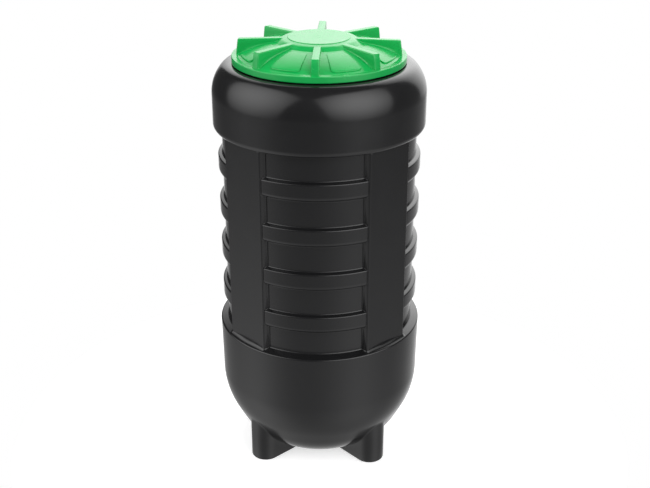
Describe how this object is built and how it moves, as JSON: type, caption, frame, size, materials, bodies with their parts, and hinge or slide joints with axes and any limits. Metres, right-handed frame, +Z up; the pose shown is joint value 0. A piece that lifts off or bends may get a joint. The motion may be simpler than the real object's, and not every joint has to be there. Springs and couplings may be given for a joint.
{
  "type": "sewage pumping station tank",
  "caption": "Upright moulded plastic sump tank with banded round wall, flat upright panels, rounded bowl on feet and a ribbed green lift-off manhole lid.",
  "frame": {"origin": "on the floor, under the tank's axis, midway between the feet", "axes": "+Z up along the tank's axis, -Y towards the front banded panel, +X to the right seen from the front"},
  "size_m": [1, 1, 2.106],
  "materials": {
    "tank_plastic": "satin black moulded polyethylene",
    "lid_plastic": "satin green moulded polyethylene"
  },
  "bodies": {
    "tank": {"lower_ring_right": "tank_plastic", "lower_ring_back": "tank_plastic", "lower_ring_left": "tank_plastic", "lower_ring_front": "tank_plastic", "bowl_upper_right": "tank_plastic", "bowl_upper_back": "tank_plastic", "bowl_upper_left": "tank_plastic", "bowl_upper_front": "tank_plastic", "bowl_lower_right": "tank_plastic", "bowl_lower_back": "tank_plastic", "bowl_lower_left": "tank_plastic", "bowl_lower_front": "tank_plastic", "bowl_floor": "tank_plastic", "foot_back_right": "tank_plastic", "foot_back_left": "tank_plastic", "foot_front_left": "tank_plastic", "foot_front_right": "tank_plastic", "ribbed_wall_right": "tank_plastic", "ribbed_wall_back": "tank_plastic", "ribbed_wall_left": "tank_plastic", "ribbed_wall_front": "tank_plastic", "flat_wall_back_right": "tank_plastic", "flat_wall_back_left": "tank_plastic", "flat_wall_front_left": "tank_plastic", "flat_wall_front_right": "tank_plastic", "shoulder_right": "tank_plastic", "shoulder_back": "tank_plastic", "shoulder_left": "tank_plastic", "shoulder_front": "tank_plastic"},
    "lid": {"lid_plate": "lid_plastic", "lid_rib_right": "lid_plastic", "lid_rib_back": "lid_plastic", "lid_rib_left": "lid_plastic", "lid_rib_front": "lid_plastic", "lid_rib_back_right": "lid_plastic", "lid_rib_back_left": "lid_plastic", "lid_rib_front_left": "lid_plastic", "lid_rib_front_right": "lid_plastic"}
  },
  "joints": [
    {"name": "lid_lift", "type": "slide", "parent": "tank", "child": "lid", "axis": [0, 0, 1], "range_m": [0, 0.3]}
  ]
}
